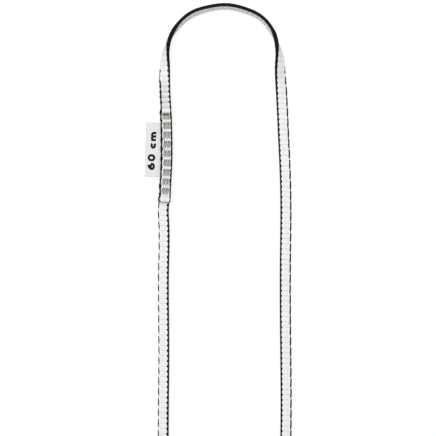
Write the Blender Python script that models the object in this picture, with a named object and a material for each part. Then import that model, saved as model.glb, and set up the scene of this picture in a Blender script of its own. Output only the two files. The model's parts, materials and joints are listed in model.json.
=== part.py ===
"""A sewn climbing sling: one closed loop of narrow polyethylene webbing.

The loop lies at rest on a flat surface. Its two legs lie flat, and the web
stands on edge round both bends. The strap laps over itself on one leg, where
nine bartacks sew the two plies together and hold a cloth label between them.
X is across the loop, Y is along it and Z is up. The origin is in the middle
of the surface under the sling.
"""

import math

import bmesh
import bpy
import numpy as np
from mathutils import Matrix, Vector

# Sizes in metres, angles in degrees

LEG_SPACING = 0.092
LOOP_LENGTH = 0.540

WEB_WIDTH = 0.0082
WEB_THICKNESS = 0.0023
SELVEDGE_WIDTH = 0.0006
CLEARANCE = 0.00025
YARN_GAP = 0.0003

ON_EDGE_ANGLE = 90
TWIST_LENGTH = 0.055
BEND_REACH = 0.0225

TACK_COUNT = 9
TACK_LENGTH = 0.0047
TACK_SPACING = 0.0023
TACK_EDGE = 0.00035
TACK_STROKES = 7
THREAD_DIAMETER = 0.0004
REAR_ALLOWANCE = 0.00155
FRONT_ALLOWANCE = 0.00615

LABEL_THICKNESS = 0.00035
LABEL_LENGTH = 0.0405
LABEL_REACH = 0.0111
LABEL_START = 0.0088
LABEL_SKEW = 2.7
LABEL_CORNER = 0.0006
SEAM_DEPTH = 0.0042

FINE_STEP = 0.0036
BEND_STEP = 0.0068
LEG_STEP = 0.0200
OVERRUN = 0.002

# What follows from the sizes

CORE_WIDTH = WEB_WIDTH - 2 * (SELVEDGE_WIDTH + YARN_GAP)
PLY_GAP = LABEL_THICKNESS + 2 * CLEARANCE
STACK_HEIGHT = 2 * WEB_THICKNESS + PLY_GAP
SEAM_HEIGHT = STACK_HEIGHT / 2
LAP_HEIGHT = STACK_HEIGHT - WEB_THICKNESS / 2
TACK_PITCH = TACK_LENGTH + TACK_SPACING
TACK_SINK = THREAD_DIAMETER + CLEARANCE
TACK_WIDTH = CORE_WIDTH - 2 * (TACK_EDGE + CLEARANCE)
REAR_MARGIN = TACK_LENGTH / 2 + REAR_ALLOWANCE
FRONT_MARGIN = TACK_LENGTH / 2 + FRONT_ALLOWANCE
LAP_LENGTH = REAR_MARGIN + TACK_PITCH * (TACK_COUNT - 1) + FRONT_MARGIN
HINGE_OFFSET = WEB_WIDTH / 2 + LABEL_THICKNESS / 2 + YARN_GAP

# The route of the strap's middle, anticlockwise from its hidden rear end.
# Each point is a share of the leg spacing and a share of the loop's length.

ROUTE_SHARES = (
    (-0.478, 0.355), (-0.471, 0.318), (-0.471, 0.287), (-0.480, 0.258),
    (-0.491, 0.228), (-0.498, 0.198), (-0.499, 0.149), (-0.501, 0.121),
    (-0.498, 0.065), (-0.497, -0.004), (-0.502, -0.088), (-0.495, -0.158),
    (-0.485, -0.222), (-0.489, -0.287), (-0.508, -0.342), (-0.524, -0.388),
    (-0.527, -0.421), (-0.504, -0.449), (-0.444, -0.471), (-0.340, -0.488),
    (-0.195, -0.4975), (-0.020, -0.500), (0.152, -0.4975), (0.305, -0.488),
    (0.420, -0.470), (0.490, -0.448), (0.521, -0.421), (0.523, -0.388),
    (0.510, -0.342), (0.492, -0.287), (0.486, -0.222), (0.492, -0.158),
    (0.500, -0.088), (0.500, -0.004), (0.496, 0.065), (0.496, 0.149),
    (0.499, 0.198), (0.498, 0.246), (0.492, 0.281), (0.479, 0.329),
    (0.463, 0.385), (0.450, 0.414), (0.438, 0.437), (0.414, 0.453),
    (0.366, 0.4705), (0.286, 0.485), (0.170, 0.4945), (0.017, 0.500),
    (-0.138, 0.497), (-0.257, 0.4905), (-0.358, 0.477), (-0.430, 0.4585),
    (-0.466, 0.442), (-0.482, 0.428), (-0.488, 0.410), (-0.486, 0.384),
)


def principled(name, colour, roughness):
    """A plain non-metallic material."""
    material = bpy.data.materials.new(name)
    material.use_nodes = True
    shader = material.node_tree.nodes["Principled BSDF"]
    shader.inputs["Base Color"].default_value = (*colour, 1)
    shader.inputs["Roughness"].default_value = roughness
    shader.inputs["Metallic"].default_value = 0
    material.diffuse_color = (*colour, 1)
    return material


def closed_spline(points, samples):
    """A periodic cubic curve through the points, as evenly read samples per span."""
    points = np.array(points)
    ahead = np.roll(points, -1, axis=0)
    spans = np.linalg.norm(ahead - points, axis=1)
    before = np.roll(spans, 1)
    count = len(points)
    matrix = np.zeros((count, count))
    for row in range(count):
        matrix[row, row - 1] = before[row]
        matrix[row, row] = 2 * (before[row] + spans[row])
        matrix[row, (row + 1) % count] = spans[row]
    slopes = (ahead - points) / spans[:, None]
    bends = np.linalg.solve(matrix, 6 * (slopes - np.roll(slopes, 1, axis=0)))
    share = (np.arange(samples) / samples)[None, :, None]
    start, end = points[:, None], ahead[:, None]
    bend, bend_ahead = bends[:, None], np.roll(bends, -1, axis=0)[:, None]
    square = spans[:, None, None] ** 2 / 6
    curve = start * (1 - share) + end * share
    curve += square * bend * ((1 - share) ** 3 - (1 - share))
    curve += square * bend_ahead * (share**3 - share)
    return curve.reshape(-1, 2)


class Route:
    """The strap's middle line: places, turn and height by distance along the strap."""

    def __init__(self, sideways=0):
        sizes = np.array((LEG_SPACING, LOOP_LENGTH))
        self.plan = closed_spline(np.array(ROUTE_SHARES) * sizes, 24) + (sideways, 0)
        closed = np.vstack((self.plan, self.plan[:1]))
        steps = np.linalg.norm(np.diff(closed, axis=0), axis=1)
        self.reach = np.concatenate(([0], np.cumsum(steps)))
        self.closed = closed
        self.round = self.reach[-1]
        self.length = self.round + LAP_LENGTH
        self.top = self.plan[:, 1].max()
        self.bottom = self.plan[:, 1].min()
        self.crown = self.reach[int(self.plan[:, 1].argmax())]
        self.section = np.array(core_outline() + selvedge_outline(1) + selvedge_outline(-1))

    def plan_at(self, distance):
        along = distance % self.round
        x = np.interp(along, self.reach, self.closed[:, 0])
        y = np.interp(along, self.reach, self.closed[:, 1])
        return Vector((x, y, 0))

    def turn_at(self, distance):
        """The web's angle to the surface: none on the legs, on edge round the bends."""
        y = self.plan_at(distance).y
        depth = min(self.top - y, y - self.bottom)
        share = (BEND_REACH + TWIST_LENGTH - depth) / TWIST_LENGTH
        return math.radians(ON_EDGE_ANGLE) * min(max(share, 0), 1) ** 1.5

    def height_at(self, distance):
        """The middle's height, with the web's lower edge on the surface or the lap."""
        turn = self.turn_at(distance)
        across, up = self.section.T
        resting = -(up * math.cos(turn) - across * math.sin(turn)).min()
        climb = (distance - self.crown) / (self.round - self.crown) * 2
        climb = min(max(climb, 0), 1)
        lapped = max(resting, LAP_HEIGHT)
        return resting + (lapped - resting) * climb**2 * (3 - 2 * climb)

    def at(self, distance):
        place = self.plan_at(distance)
        place.z = self.height_at(distance)
        return place

    def ahead_at(self, distance):
        """The direction of the strap in plan."""
        step = self.plan_at(distance + CLEARANCE) - self.plan_at(distance - CLEARANCE)
        return step.normalized()

    def step_at(self, distance):
        """The way to the next station: short in a twist, longer on edge and on a leg."""
        turn = self.turn_at(distance)
        if turn >= math.radians(ON_EDGE_ANGLE):
            return BEND_STEP
        if turn > 0 or self.turn_at(distance + LEG_STEP) > 0:
            return FINE_STEP
        return LEG_STEP

    def stations(self):
        """Distances along the strap at which its outline is set."""
        found = []
        distance = 0
        while distance < self.length - FINE_STEP / 2:
            found.append(distance)
            distance += self.step_at(distance)
        return found + [self.length]


def core_outline():
    """The white body of the web, as a thick band with eased edges."""
    half = CORE_WIDTH / 2
    tall = WEB_THICKNESS / 2
    ease = tall * 0.3
    return [
        (-half, tall - ease), (-half + ease, tall), (half - ease, tall), (half, tall - ease),
        (half, ease - tall), (half - ease, -tall), (-half + ease, -tall), (-half, ease - tall),
    ]


def selvedge_outline(side):
    """One dark edge yarn, rounded on its outer side: side 1 is outside the loop."""
    inner = WEB_WIDTH / 2 - SELVEDGE_WIDTH
    outer = WEB_WIDTH / 2
    tall = WEB_THICKNESS / 2
    brow = inner + SELVEDGE_WIDTH * 0.4
    points = [
        (inner, -tall * 0.95), (inner, tall * 0.95), (brow, tall * 0.85),
        (outer, tall * 0.4), (outer, -tall * 0.4), (brow, -tall * 0.85),
    ]
    return [(side * x, y) for x, y in points][::side]


def flat_curve(name, outlines):
    """A 2D curve of closed straight-sided outlines."""
    curve = bpy.data.curves.new(name, "CURVE")
    curve.dimensions = "2D"
    for outline in outlines:
        spline = curve.splines.new("POLY")
        spline.points.add(len(outline) - 1)
        for point, (x, y) in zip(spline.points, outline):
            point.co = (x, y, 0, 1)
        spline.use_cyclic_u = True
    return curve


def as_mesh(curve_object, collection):
    """The curve's surface as a mesh object with its caps welded on."""
    bpy.context.view_layer.update()
    graph = bpy.context.evaluated_depsgraph_get()
    mesh = bpy.data.meshes.new_from_object(curve_object.evaluated_get(graph))
    shape = bmesh.new()
    shape.from_mesh(mesh)
    bmesh.ops.remove_doubles(shape, verts=shape.verts, dist=0.00001)
    bmesh.ops.recalc_face_normals(shape, faces=shape.faces)
    shape.to_mesh(mesh)
    shape.free()
    name = curve_object.name
    made = bpy.data.objects.new(name + "_mesh", mesh)
    made.matrix_world = curve_object.matrix_world
    for slot in curve_object.data.materials:
        if slot.name not in mesh.materials:
            mesh.materials.append(slot)
    bpy.data.objects.remove(curve_object)
    made.name = name
    collection.objects.link(made)
    return made


def strap(name, outline, route, material, parts, guides):
    """One band of the web: its outline swept along the whole strap."""
    profile = bpy.data.objects.new(name + "_outline", flat_curve(name + "_outline", [outline]))
    profile.hide_render = True
    profile.display_type = "WIRE"
    guides.objects.link(profile)
    curve = bpy.data.curves.new(name, "CURVE")
    curve.dimensions = "3D"
    curve.twist_mode = "Z_UP"
    curve.bevel_mode = "OBJECT"
    curve.bevel_object = profile
    curve.use_fill_caps = True
    curve.materials.append(material)
    distances = route.stations()
    spline = curve.splines.new("POLY")
    spline.points.add(len(distances) - 1)
    for point, distance in zip(spline.points, distances):
        point.co = (*route.at(distance), 1)
        point.tilt = route.turn_at(distance)
    band = bpy.data.objects.new(name, curve)
    parts.objects.link(band)
    return as_mesh(band, parts)


def seam_frame(route, distance):
    """Axes on the lap: X along the strap, Y up, Z towards the outside of the loop."""
    along = route.ahead_at(distance)
    outside = along.cross(Vector((0, 0, 1)))
    place = route.plan_at(distance)
    axes = Matrix((along, Vector((0, 0, 1)), outside)).transposed().to_4x4()
    return Matrix.Translation(place) @ axes


def tack_places():
    """The distance along the strap of each bartack's middle."""
    return [REAR_MARGIN + TACK_PITCH * index for index in range(TACK_COUNT)]


def tack_cutter(index, frame, cutters):
    """The way cut for one bartack's threads: a flat recess in each outer face, and
    at both ends of them a slit down through the plies, in one rectangular ring."""
    reach = TACK_LENGTH / 2 + CLEARANCE
    slit = THREAD_DIAMETER + 2 * CLEARANCE
    outer = [
        (-reach, -OVERRUN), (reach, -OVERRUN),
        (reach, STACK_HEIGHT + OVERRUN), (-reach, STACK_HEIGHT + OVERRUN),
    ]
    inner = [
        (slit - reach, TACK_SINK), (reach - slit, TACK_SINK),
        (reach - slit, STACK_HEIGHT - TACK_SINK), (slit - reach, STACK_HEIGHT - TACK_SINK),
    ]
    curve = flat_curve(f"tack_way_{index}", [outer, inner])
    curve.fill_mode = "BOTH"
    curve.extrude = TACK_WIDTH / 2 + CLEARANCE
    cutter = bpy.data.objects.new(f"tack_way_{index}", curve)
    cutter.matrix_world = frame
    cutters.objects.link(cutter)
    made = as_mesh(cutter, cutters)
    made.hide_render = True
    made.display_type = "WIRE"
    return made


def stitch_points(side):
    """One thread's path on one face: V strokes along the strap that dip into the
    slits at both ends. Side 1 is the front face and -1 the rear face."""
    end = TACK_LENGTH / 2 - THREAD_DIAMETER / 2
    shoulder = end - THREAD_DIAMETER
    edge = TACK_WIDTH / 2 - THREAD_DIAMETER / 2
    spread = THREAD_DIAMETER / 2 + CLEARANCE / 2
    lie = STACK_HEIGHT / 2 - THREAD_DIAMETER / 2
    lock = THREAD_DIAMETER / 2 + CLEARANCE / 2
    middle = STACK_HEIGHT / 2
    points = []
    for hole in range(TACK_STROKES + 1):
        across = edge * (2 * hole / TACK_STROKES - 1)
        way = 1 if hole % 2 else -1
        if hole > 0:
            points.append((way * shoulder, middle + side * lie, across - spread))
        points.append((way * end, middle + side * lock, across))
        if hole < TACK_STROKES:
            points.append((way * shoulder, middle + side * lie, across + spread))
    return points


def stitches(name, side, frame, material, parts):
    """One bartack's thread on one face, as an unbroken tube."""
    curve = bpy.data.curves.new(name, "CURVE")
    curve.dimensions = "3D"
    curve.bevel_depth = THREAD_DIAMETER / 2
    curve.bevel_resolution = 1
    curve.use_fill_caps = True
    curve.materials.append(material)
    places = stitch_points(side)
    spline = curve.splines.new("POLY")
    spline.points.add(len(places) - 1)
    for point, place in zip(spline.points, places):
        point.co = (*place, 1)
    thread = bpy.data.objects.new(name, curve)
    thread.matrix_world = frame
    parts.objects.link(thread)
    return as_mesh(thread, parts)


def label_plate(name, outline, frame, material, parts):
    """A flat piece of label cloth with eased edges."""
    ease = LABEL_THICKNESS / 5
    curve = flat_curve(name, [outline])
    curve.fill_mode = "BOTH"
    curve.extrude = LABEL_THICKNESS / 2 - ease
    curve.bevel_depth = ease
    curve.bevel_resolution = 0
    curve.offset = -ease
    curve.materials.append(material)
    plate = bpy.data.objects.new(name, curve)
    plate.matrix_world = frame
    parts.objects.link(plate)
    return as_mesh(plate, parts)


def label_frame(route):
    """Axes on the label's fold, at the middle of its length: X outwards from the
    loop, Y along the strap and Z up. The fold clears the whole edge."""
    start, end = (route.plan_at(LABEL_START + LABEL_LENGTH * side) for side in (0, 1))
    along = (end - start).normalized()
    outside = along.cross(Vector((0, 0, 1)))
    beside = [route.plan_at(LABEL_START + LABEL_LENGTH * share) for share in np.linspace(0, 1, 9)]
    bow = max((place - start).dot(outside) for place in beside)
    place = (start + end) / 2 + outside * (bow + HINGE_OFFSET)
    place.z = SEAM_HEIGHT
    axes = Matrix((outside, along, Vector((0, 0, 1)))).transposed().to_4x4()
    return Matrix.Translation(place) @ axes


def label_reach(side):
    """How far the label stands out from the fold at its first (-1) or last (1) end."""
    return LABEL_REACH + side * math.tan(math.radians(LABEL_SKEW)) * LABEL_LENGTH / 2


def label_end(reach, side):
    """A place on the label's first or last end, which lean because it is sewn askew."""
    lean = math.tan(math.radians(LABEL_SKEW))
    return reach, side * LABEL_LENGTH / 2 + lean * (label_reach(side) - reach)


def tail_outline():
    """The label's sewn-in part, from just outside the strap's edge to the seam's middle."""
    outer = -LABEL_THICKNESS / 2 - CLEARANCE
    inner = -HINGE_OFFSET + WEB_WIDTH / 2 - SEAM_DEPTH
    return [label_end(outer, -1), label_end(outer, 1), label_end(inner, 1), label_end(inner, -1)]


def flap_outline():
    """The label's free part, with its two free corners cut round."""
    first, last = label_reach(-1), label_reach(1)
    half = LABEL_LENGTH / 2 - LABEL_CORNER
    return [
        label_end(0, -1), label_end(first - LABEL_CORNER, -1), (first, -half),
        (last, half), label_end(last - LABEL_CORNER, 1), label_end(0, 1),
    ]


def label_droop():
    """The fold's angle at rest, with the label's far corner down on the surface."""
    return math.asin((SEAM_HEIGHT - LABEL_THICKNESS / 2) / label_reach(1))


def flap_frame(route):
    """Axes on the fold that lie in the drooping label."""
    return label_frame(route) @ Matrix.Rotation(label_droop(), 4, "Y")


def middle_across(route):
    """Half way from the label's free edge to the far leg's outer edge."""
    label = min((flap_frame(route) @ Vector((*point, 0))).x for point in flap_outline())
    across, up = route.section.T
    far_edge = []
    for distance in route.stations():
        turn = route.turn_at(distance)
        reach = (across * math.cos(turn) + up * math.sin(turn)).max()
        outside = route.ahead_at(distance).cross(Vector((0, 0, 1)))
        far_edge.append((route.plan_at(distance) + outside * reach).x)
    return (label + max(far_edge)) / 2


def build():
    for old in list(bpy.data.objects):
        bpy.data.objects.remove(old)

    parts = bpy.data.collections.new("climbing_sling")
    cutters = bpy.data.collections.new("cutters")
    guides = bpy.data.collections.new("outlines")
    for collection in (parts, cutters, guides):
        bpy.context.scene.collection.children.link(collection)

    white = principled("white_polyethylene", (0.86, 0.86, 0.85), 0.55)
    black = principled("black_edge_yarn", (0.02, 0.02, 0.022), 0.6)
    olive = principled("olive_thread", (0.16, 0.18, 0.08), 0.6)
    grey = principled("grey_thread", (0.36, 0.37, 0.33), 0.6)
    cloth = principled("label_cloth", (0.82, 0.83, 0.83), 0.5)

    route = Route(-middle_across(Route()))
    webbing = strap("webbing", core_outline(), route, white, parts, guides)
    strap("outer_selvedge", selvedge_outline(1), route, black, parts, guides)
    strap("inner_selvedge", selvedge_outline(-1), route, black, parts, guides)

    fold = label_frame(route)
    tail = label_plate("label_tail", tail_outline(), fold, cloth, parts)
    hinge = bpy.data.objects.new("label_fold", None)
    hinge.matrix_world = flap_frame(route)
    parts.objects.link(hinge)
    flap = label_plate("label_flap", flap_outline(), flap_frame(route), cloth, parts)
    flap.parent = hinge
    flap.matrix_parent_inverse = flap_frame(route).inverted()

    for index, distance in enumerate(tack_places(), 1):
        frame = seam_frame(route, distance)
        tack_cutter(index, frame, cutters)
        thread = olive if index == 1 else grey
        stitches(f"needle_thread_{index}", 1, frame, thread, parts)
        stitches(f"bobbin_thread_{index}", -1, frame, thread, parts)

    for cut in (webbing, tail):
        modifier = cut.modifiers.new("thread_ways", "BOOLEAN")
        modifier.operand_type = "COLLECTION"
        modifier.collection = cutters
        modifier.operation = "DIFFERENCE"
        modifier.solver = "EXACT"


build()
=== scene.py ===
"""The looks of a sewn climbing sling: one closed loop of narrow polyethylene webbing.

The strap is woven flat by Geometry Nodes, with X across it towards the outside of
the loop, Y along it and Z up through its front face. It is then laid along the
sling's route, and its finishes still read those flat coordinates. The near leg is
the one with the lap and its label. All sizes are in metres, all angles in degrees.
"""

import json
import math

import bmesh
import bpy
import numpy as np
from mathutils import Matrix, Vector


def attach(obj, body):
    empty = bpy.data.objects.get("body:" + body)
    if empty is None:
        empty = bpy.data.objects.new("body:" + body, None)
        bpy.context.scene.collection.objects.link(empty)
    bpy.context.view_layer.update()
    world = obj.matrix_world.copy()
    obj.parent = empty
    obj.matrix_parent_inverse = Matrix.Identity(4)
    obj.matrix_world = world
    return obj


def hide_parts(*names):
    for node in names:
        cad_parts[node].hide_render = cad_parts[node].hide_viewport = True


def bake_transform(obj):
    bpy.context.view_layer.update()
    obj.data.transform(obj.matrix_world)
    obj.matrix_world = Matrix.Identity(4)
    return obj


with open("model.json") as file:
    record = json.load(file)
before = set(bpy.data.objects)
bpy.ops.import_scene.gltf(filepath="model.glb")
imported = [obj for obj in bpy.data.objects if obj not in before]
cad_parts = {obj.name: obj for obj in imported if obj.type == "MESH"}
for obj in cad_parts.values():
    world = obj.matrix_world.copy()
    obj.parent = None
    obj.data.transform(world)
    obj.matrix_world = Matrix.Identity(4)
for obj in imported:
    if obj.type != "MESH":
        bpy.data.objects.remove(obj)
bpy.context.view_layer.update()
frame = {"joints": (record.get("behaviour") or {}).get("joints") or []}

# The camera, straight above the upper part of the sling, and the table top

CAMERA_PLACE = (-0.00095, 0.1118, 0.5430)
CAMERA_LENS = 59.56
CAMERA_SENSOR = 36
FLOOR_HALF = 4
FLOOR_HEIGHT = -0.00005

# The strap's route from its hidden rear end, anticlockwise seen from above

ROUTE = (
    (-0.0399, 0.1917), (-0.0393, 0.1717), (-0.0393, 0.1550), (-0.0401, 0.1393),
    (-0.0411, 0.1231), (-0.0418, 0.1069), (-0.0419, 0.0805), (-0.0420, 0.0653),
    (-0.0418, 0.0351), (-0.0417, -0.0022), (-0.0421, -0.0475), (-0.0415, -0.0853),
    (-0.0406, -0.1199), (-0.0409, -0.1550), (-0.0427, -0.1847), (-0.0442, -0.2095),
    (-0.0444, -0.2273), (-0.0423, -0.2425), (-0.0368, -0.2543), (-0.0272, -0.2635),
    (-0.0139, -0.2686), (0.0022, -0.2700), (0.0180, -0.2686), (0.0321, -0.2635),
    (0.0427, -0.2538), (0.0491, -0.2419), (0.0520, -0.2273), (0.0522, -0.2095),
    (0.0510, -0.1847), (0.0493, -0.1550), (0.0488, -0.1199), (0.0493, -0.0853),
    (0.0501, -0.0475), (0.0501, -0.0022), (0.0497, 0.0351), (0.0497, 0.0805),
    (0.0500, 0.1069), (0.0499, 0.1328), (0.0493, 0.1517), (0.0481, 0.1777),
    (0.0466, 0.2079), (0.0455, 0.2236), (0.0443, 0.2360), (0.0421, 0.2446),
    (0.0377, 0.2541), (0.0304, 0.2619), (0.0197, 0.2670), (0.0056, 0.2700),
    (-0.0086, 0.2684), (-0.0196, 0.2649), (-0.0289, 0.2576), (-0.0355, 0.2476),
    (-0.0388, 0.2387), (-0.0403, 0.2311), (-0.0408, 0.2214), (-0.0407, 0.2074),
)
ROUTE_SAMPLES = 64
TANGENT_STEP = 0.0008

# How the web turns on edge: each twist's depth from the bend's end and its length, the
# far leg's slow tail, the web's angle and shift round the bends, its roll on the legs

NEAR_TWIST = (0.0122, 0.0478)
FAR_TWIST = (0.0166, 0.0362)
FAR_TAIL = 0.13
FAR_TAIL_END = 0.085
FAR_TAIL_LENGTH = 0.035
ON_EDGE_ANGLE = 98
BEND_LEAN = 0.00018
SHOULDER_LEAN = 6
SHOULDER_SHIFT = 0.00032
SHOULDER_PLACE = (-0.0200, 0.0100)
NEAR_LEG_ROLL = 3
FAR_LEG_ROLL = -3
ROLL_LENGTH = 0.040

# How far the web sways out of its route, where and over what reach

NEAR_SWAY = (0.00088, 0.0285, 0.0092)
FAR_SWAY = (0.00060, 0.0335, 0.0135)
LAP_END_SWAY = ((0.00080, 0.005, 0.008), (-0.00047, 0.028, 0.016))

# The web and its weave

WEB_WIDTH = 0.0082
WEB_THICKNESS = 0.0023
LOWER_EDGE = ((0, 0.4), (0.00036, 0.85), (0.0009, 1))
RIB_PITCH = 0.0039
RIB_STEPS = 8
RIB_DEPTH = 0.16
RIB_GROOVE = 0.0011
YARNS_ACROSS = 5
YARN_DIP = 0.00006
FINE_YARN = 0.00058
PICK = RIB_PITCH / 6
BODY_INNER = 0.00305
BODY_OUTER = 0.00392
BODY_EASE = 0.0008
BODY_SWELL = 0.00042
BODY_SWELL_PLACE = (0.0010, 0.0020)
FUSED_LENGTH = 0.0012
FUSED_SQUEEZE = (0.05, 0.45)

# The inner edge yarn and its nubs. Pairs are for the near and the far leg.

EDGE_CORD_RADIUS = 0.00066
EDGE_CORD_GRAIN = 0.00195
EDGE_CORD_SINK = 0.00003
EDGE_CORD_RELIEF = {"Relief": 0.08, "Lump": 0.06}
EDGE_INSET = 0.0002
EDGE_SHIFTS = (-0.00003, -0.00009)
EDGE_GROWTHS = (0.0, -0.16)
EDGE_SWELL = 0.42
LEAD_SWELL = 0.42
LEAD_SHIFT = 0.00002
NEAR_SWELL = (0.051, 0.013)
FAR_SWELL = (0.066, 0.022)
TWIST_SPREAD = 0.42
LUMP_EASE = 0.004
YARN_SIDES = 10
NUB_SIZES = {"Reach": 0.00060, "Length": 0.00110, "Rise": 0.00026}
NUB_SHIFTS = (0.00018, -0.00006)
NUB_SINK = 0.00016
LEAD_NUB_INSET = 0.0003
NUBS_END = 0.003
NUBS_LEAD = 0.002

# The floats of yarn along the outer edge

DASH_PITCH = 2 * RIB_PITCH
NEAR_DASH = {"Length": 0.0069, "Radius": 0.00050, "Lean": 1.0}
NEAR_DASH_PLACE = (0.00010, 0.00004)
FAR_DASH = {"Length": 0.0079, "Radius": 0.00066, "Lean": -1.0}
FAR_DASH_PLACE = (0.00027, 0.00010)
FAR_DASH_SHIFT = 0.0022
DASH_FLATNESS = 0.55
DASH_DIVE = 0.0007
DASH_LEAN = 0.0006
DASH_STATIONS = 9
DASH_SIDES = 6
NEAR_DASH_DEPTH = 0.0470
FAR_DASH_DEPTH = 0.0462
DASH_EASE = 0.0180
DASH_DRAW = (0.00038, 0.00012)

# The lap, and how its sewing draws the web before it and at its front ply's end

LAP_LENGTH = 0.0684
STACK_HEIGHT = 0.00545
LAP_HEIGHT = STACK_HEIGHT - WEB_THICKNESS / 2
LAP_RAMP = 0.002
PLY_SWELL = 0.0002
LAP_DRAW = 0.00045
LEAD_DRAW = 0.00020
DRAW_RAMP = 0.006
DRAW_AHEAD = 0.004
END_DRAW = 0.0004
END_DRAW_PLACE = (0.016, 0.010)
LAP_YARN_LEAD = 0.026
LAP_YARN_END = 0.0054
LAP_YARN_RADIUS = 0.00086
LAP_YARN_RELIEF = {"Relief": 0.12, "Lump": 0.33}
LAP_YARN_EDGE = WEB_WIDTH / 2 + 0.00004
LAP_YARN_RISE = 0.00012
LAP_YARN_SHARES = (0.25, 0.70, 0.05)
LEAD_YARN_SHIFT = -0.00038
LAP_YARN_SHIFT = 0.0005

# The bartacks. Each presses the web past its end and its side, and fades there.
# Strokes have a count, half a length, a width, a height and a dive. A thread end has
# its place across, its lean, step, rise and arch.

TACK_COUNT = 9
TACK_FIRST = 0.0041
TACK_PITCH = 0.00698
TACK_LENGTH = 0.0047
TACK_WIDTH = 0.0059
TACK_SHIFT = -0.0002
TACK_SINK = 0.0004
PRESS_PAST = (0.0005, 0.0006)
PRESS_FADE = (0.0010, 0.0008)
TACK_BULGE = 0.00012
BULGE_PLACE = (0.0034, 0.0012)
THREAD_RADIUS = 0.00025
THREAD_SIDES = 7
THREAD_TOP = STACK_HEIGHT - THREAD_RADIUS
UNDER_STROKES = (11, TACK_LENGTH / 2 * 0.84, TACK_WIDTH - 0.0006, STACK_HEIGHT - 0.00037, 0.0006)
OVER_STROKES = (7, TACK_LENGTH / 2, TACK_WIDTH - 2 * THREAD_RADIUS, THREAD_TOP + 0.00005, 0.0009)
LOCK_STROKES = (11, 0.0007, 0.0042, THREAD_TOP + 0.00015, 0.0004)
LOCK_PLACE = (0.0007, -0.0015)
TAIL_RADIUS = 0.00022
TAIL_LINE = (0.0021, 0.0001, 0.0004, 0.0001, 0.0002)
TAIL_OVERLAP = 0.0003
CURL_RADIUS = 0.00055
CURL = (
    (-0.0010, -0.0058, -0.0008), (-0.0006, -0.0046, -0.0006), (-0.0002, -0.0036, -0.0006),
    (0.0001, -0.0026, -0.0008), (0.0001, -0.0015, -0.0012), (-0.0003, -0.0007, -0.0015),
    (-0.0009, -0.0004, -0.0016), (-0.0013, -0.0009, -0.0014),
)

# The label

LABEL_LENGTH = 0.0405
LABEL_MIDDLE = 0.02905
LABEL_REACH = 0.0114
LABEL_SKEW = 2.7
FREE_EDGE_SKEW = 1.5
LABEL_SHIFT = -0.0006
LABEL_THICKNESS = 0.00035
LABEL_DEPTH = 0.0046
LABEL_DROOP = 12.2
LABEL_FOLD = 0.0010
LABEL_SPAN = 0.014
LABEL_CAMBER = 0.0004
CAMBER_REACH = 0.0115
LABEL_WAVE = (0.00008, 330, 1.1, 0.006)
LABEL_ROOM = 0.002
ROOM_START = 0.001
ROOM_LENGTH = 0.002
CLOTH_SPAN = 0.0157
CLOTH_ROWS = 61
CLOTH_COLUMNS = 121
PRINT_HEIGHT = 0.0055
PRINT_WIDENING = 1.48
PRINT_STROKE = 0.0018
PRINT_STEP = 0.0004
PRINT_MIDDLE = 0.0063
PRINT_SHIFT = 0.0013
PRINT_LIFT = 0.00002
PRINT_LAYER = 0.000002

# Places and colours of the finishes

SHADED_PLACE = 1.0135
SHADED_REACH = 0.0130
# The painted highlight on the far bend's shoulder, with painted shade in its rib grooves
SHOULDER_HIGHLIGHT_PLACE = 1.0590
SHOULDER_HIGHLIGHT_REACH = 0.0120
# Where painted shade darkens the rib grooves before the lap, and its reach
RUNGS_BEFORE_LAP = 0.0098
RUNGS_REACH = 0.0100
# The painted highlight along both edges: where it starts from the face's middle, and its reach
EDGE_HIGHLIGHT_PLACE = (0.0011, 0.0012)
# Where the fused end's grey rim, darkened as a painted shadow line, starts and grows
FUSED_PLACE = (0.0007, 0.0004)
HOLE_REACH = (0.00040, 0.00045)
HOLES_END = 0.004
HOLES_PAST = 0.0003
HOLES_FADE = 4000
SATIN_WARP = 0.00022
SATIN_WEFT = 0.00030
SATIN_EDGE = 0.0006
WHITE = (0.930, 0.930, 0.925)
# The darker end of the white's random tone and of its painted shade
TONE_AND_SHADE_WHITE = (0.720, 0.723, 0.720)
SILKY_WHITE = (0.80, 0.80, 0.795)
# Painted highlight on the far bend's shoulder
SHOULDER_HIGHLIGHT_WHITE = (0.975, 0.975, 0.970)
# Painted shade in the rib grooves before the lap
BEFORE_LAP_RUNG_SHADE = (0.52, 0.52, 0.515)
# Painted shade in the rib grooves on that shoulder
SHOULDER_RUNG_SHADE = (0.36, 0.36, 0.355)
# Painted shade in the needle holes
NEEDLE_HOLE_SHADE = (0.11, 0.11, 0.10)
# The fused end's grey, darkened as a painted shadow line
FUSED_END_AND_SHADOW = (0.26, 0.26, 0.25)
BLACK = (0.004, 0.004, 0.005)
BLACK_SHEEN = (0.016, 0.016, 0.018)
RUBBED_BLACK = (0.050, 0.050, 0.052)
THIN_INK = (0.035, 0.035, 0.037)
SATIN = (0.835, 0.840, 0.845)
SATIN_SHADE = (0.775, 0.780, 0.785)
FUSED_SATIN = (0.66, 0.66, 0.655)


def smooth(share):
    """Nought to one with an eased start and end."""
    share = np.clip(share, 0, 1)
    return share * share * (3 - 2 * share)


def bump(where, height, middle, reach):
    """A soft bell round a middle."""
    return height * np.exp(-(((where - middle) / reach) ** 2))


# Node trees


def both_ways(operation):
    """An operator of Value, and its reflected form."""
    return (
        lambda self, other: arithmetic(operation, self, other),
        lambda self, other: arithmetic(operation, other, self),
    )


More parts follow.
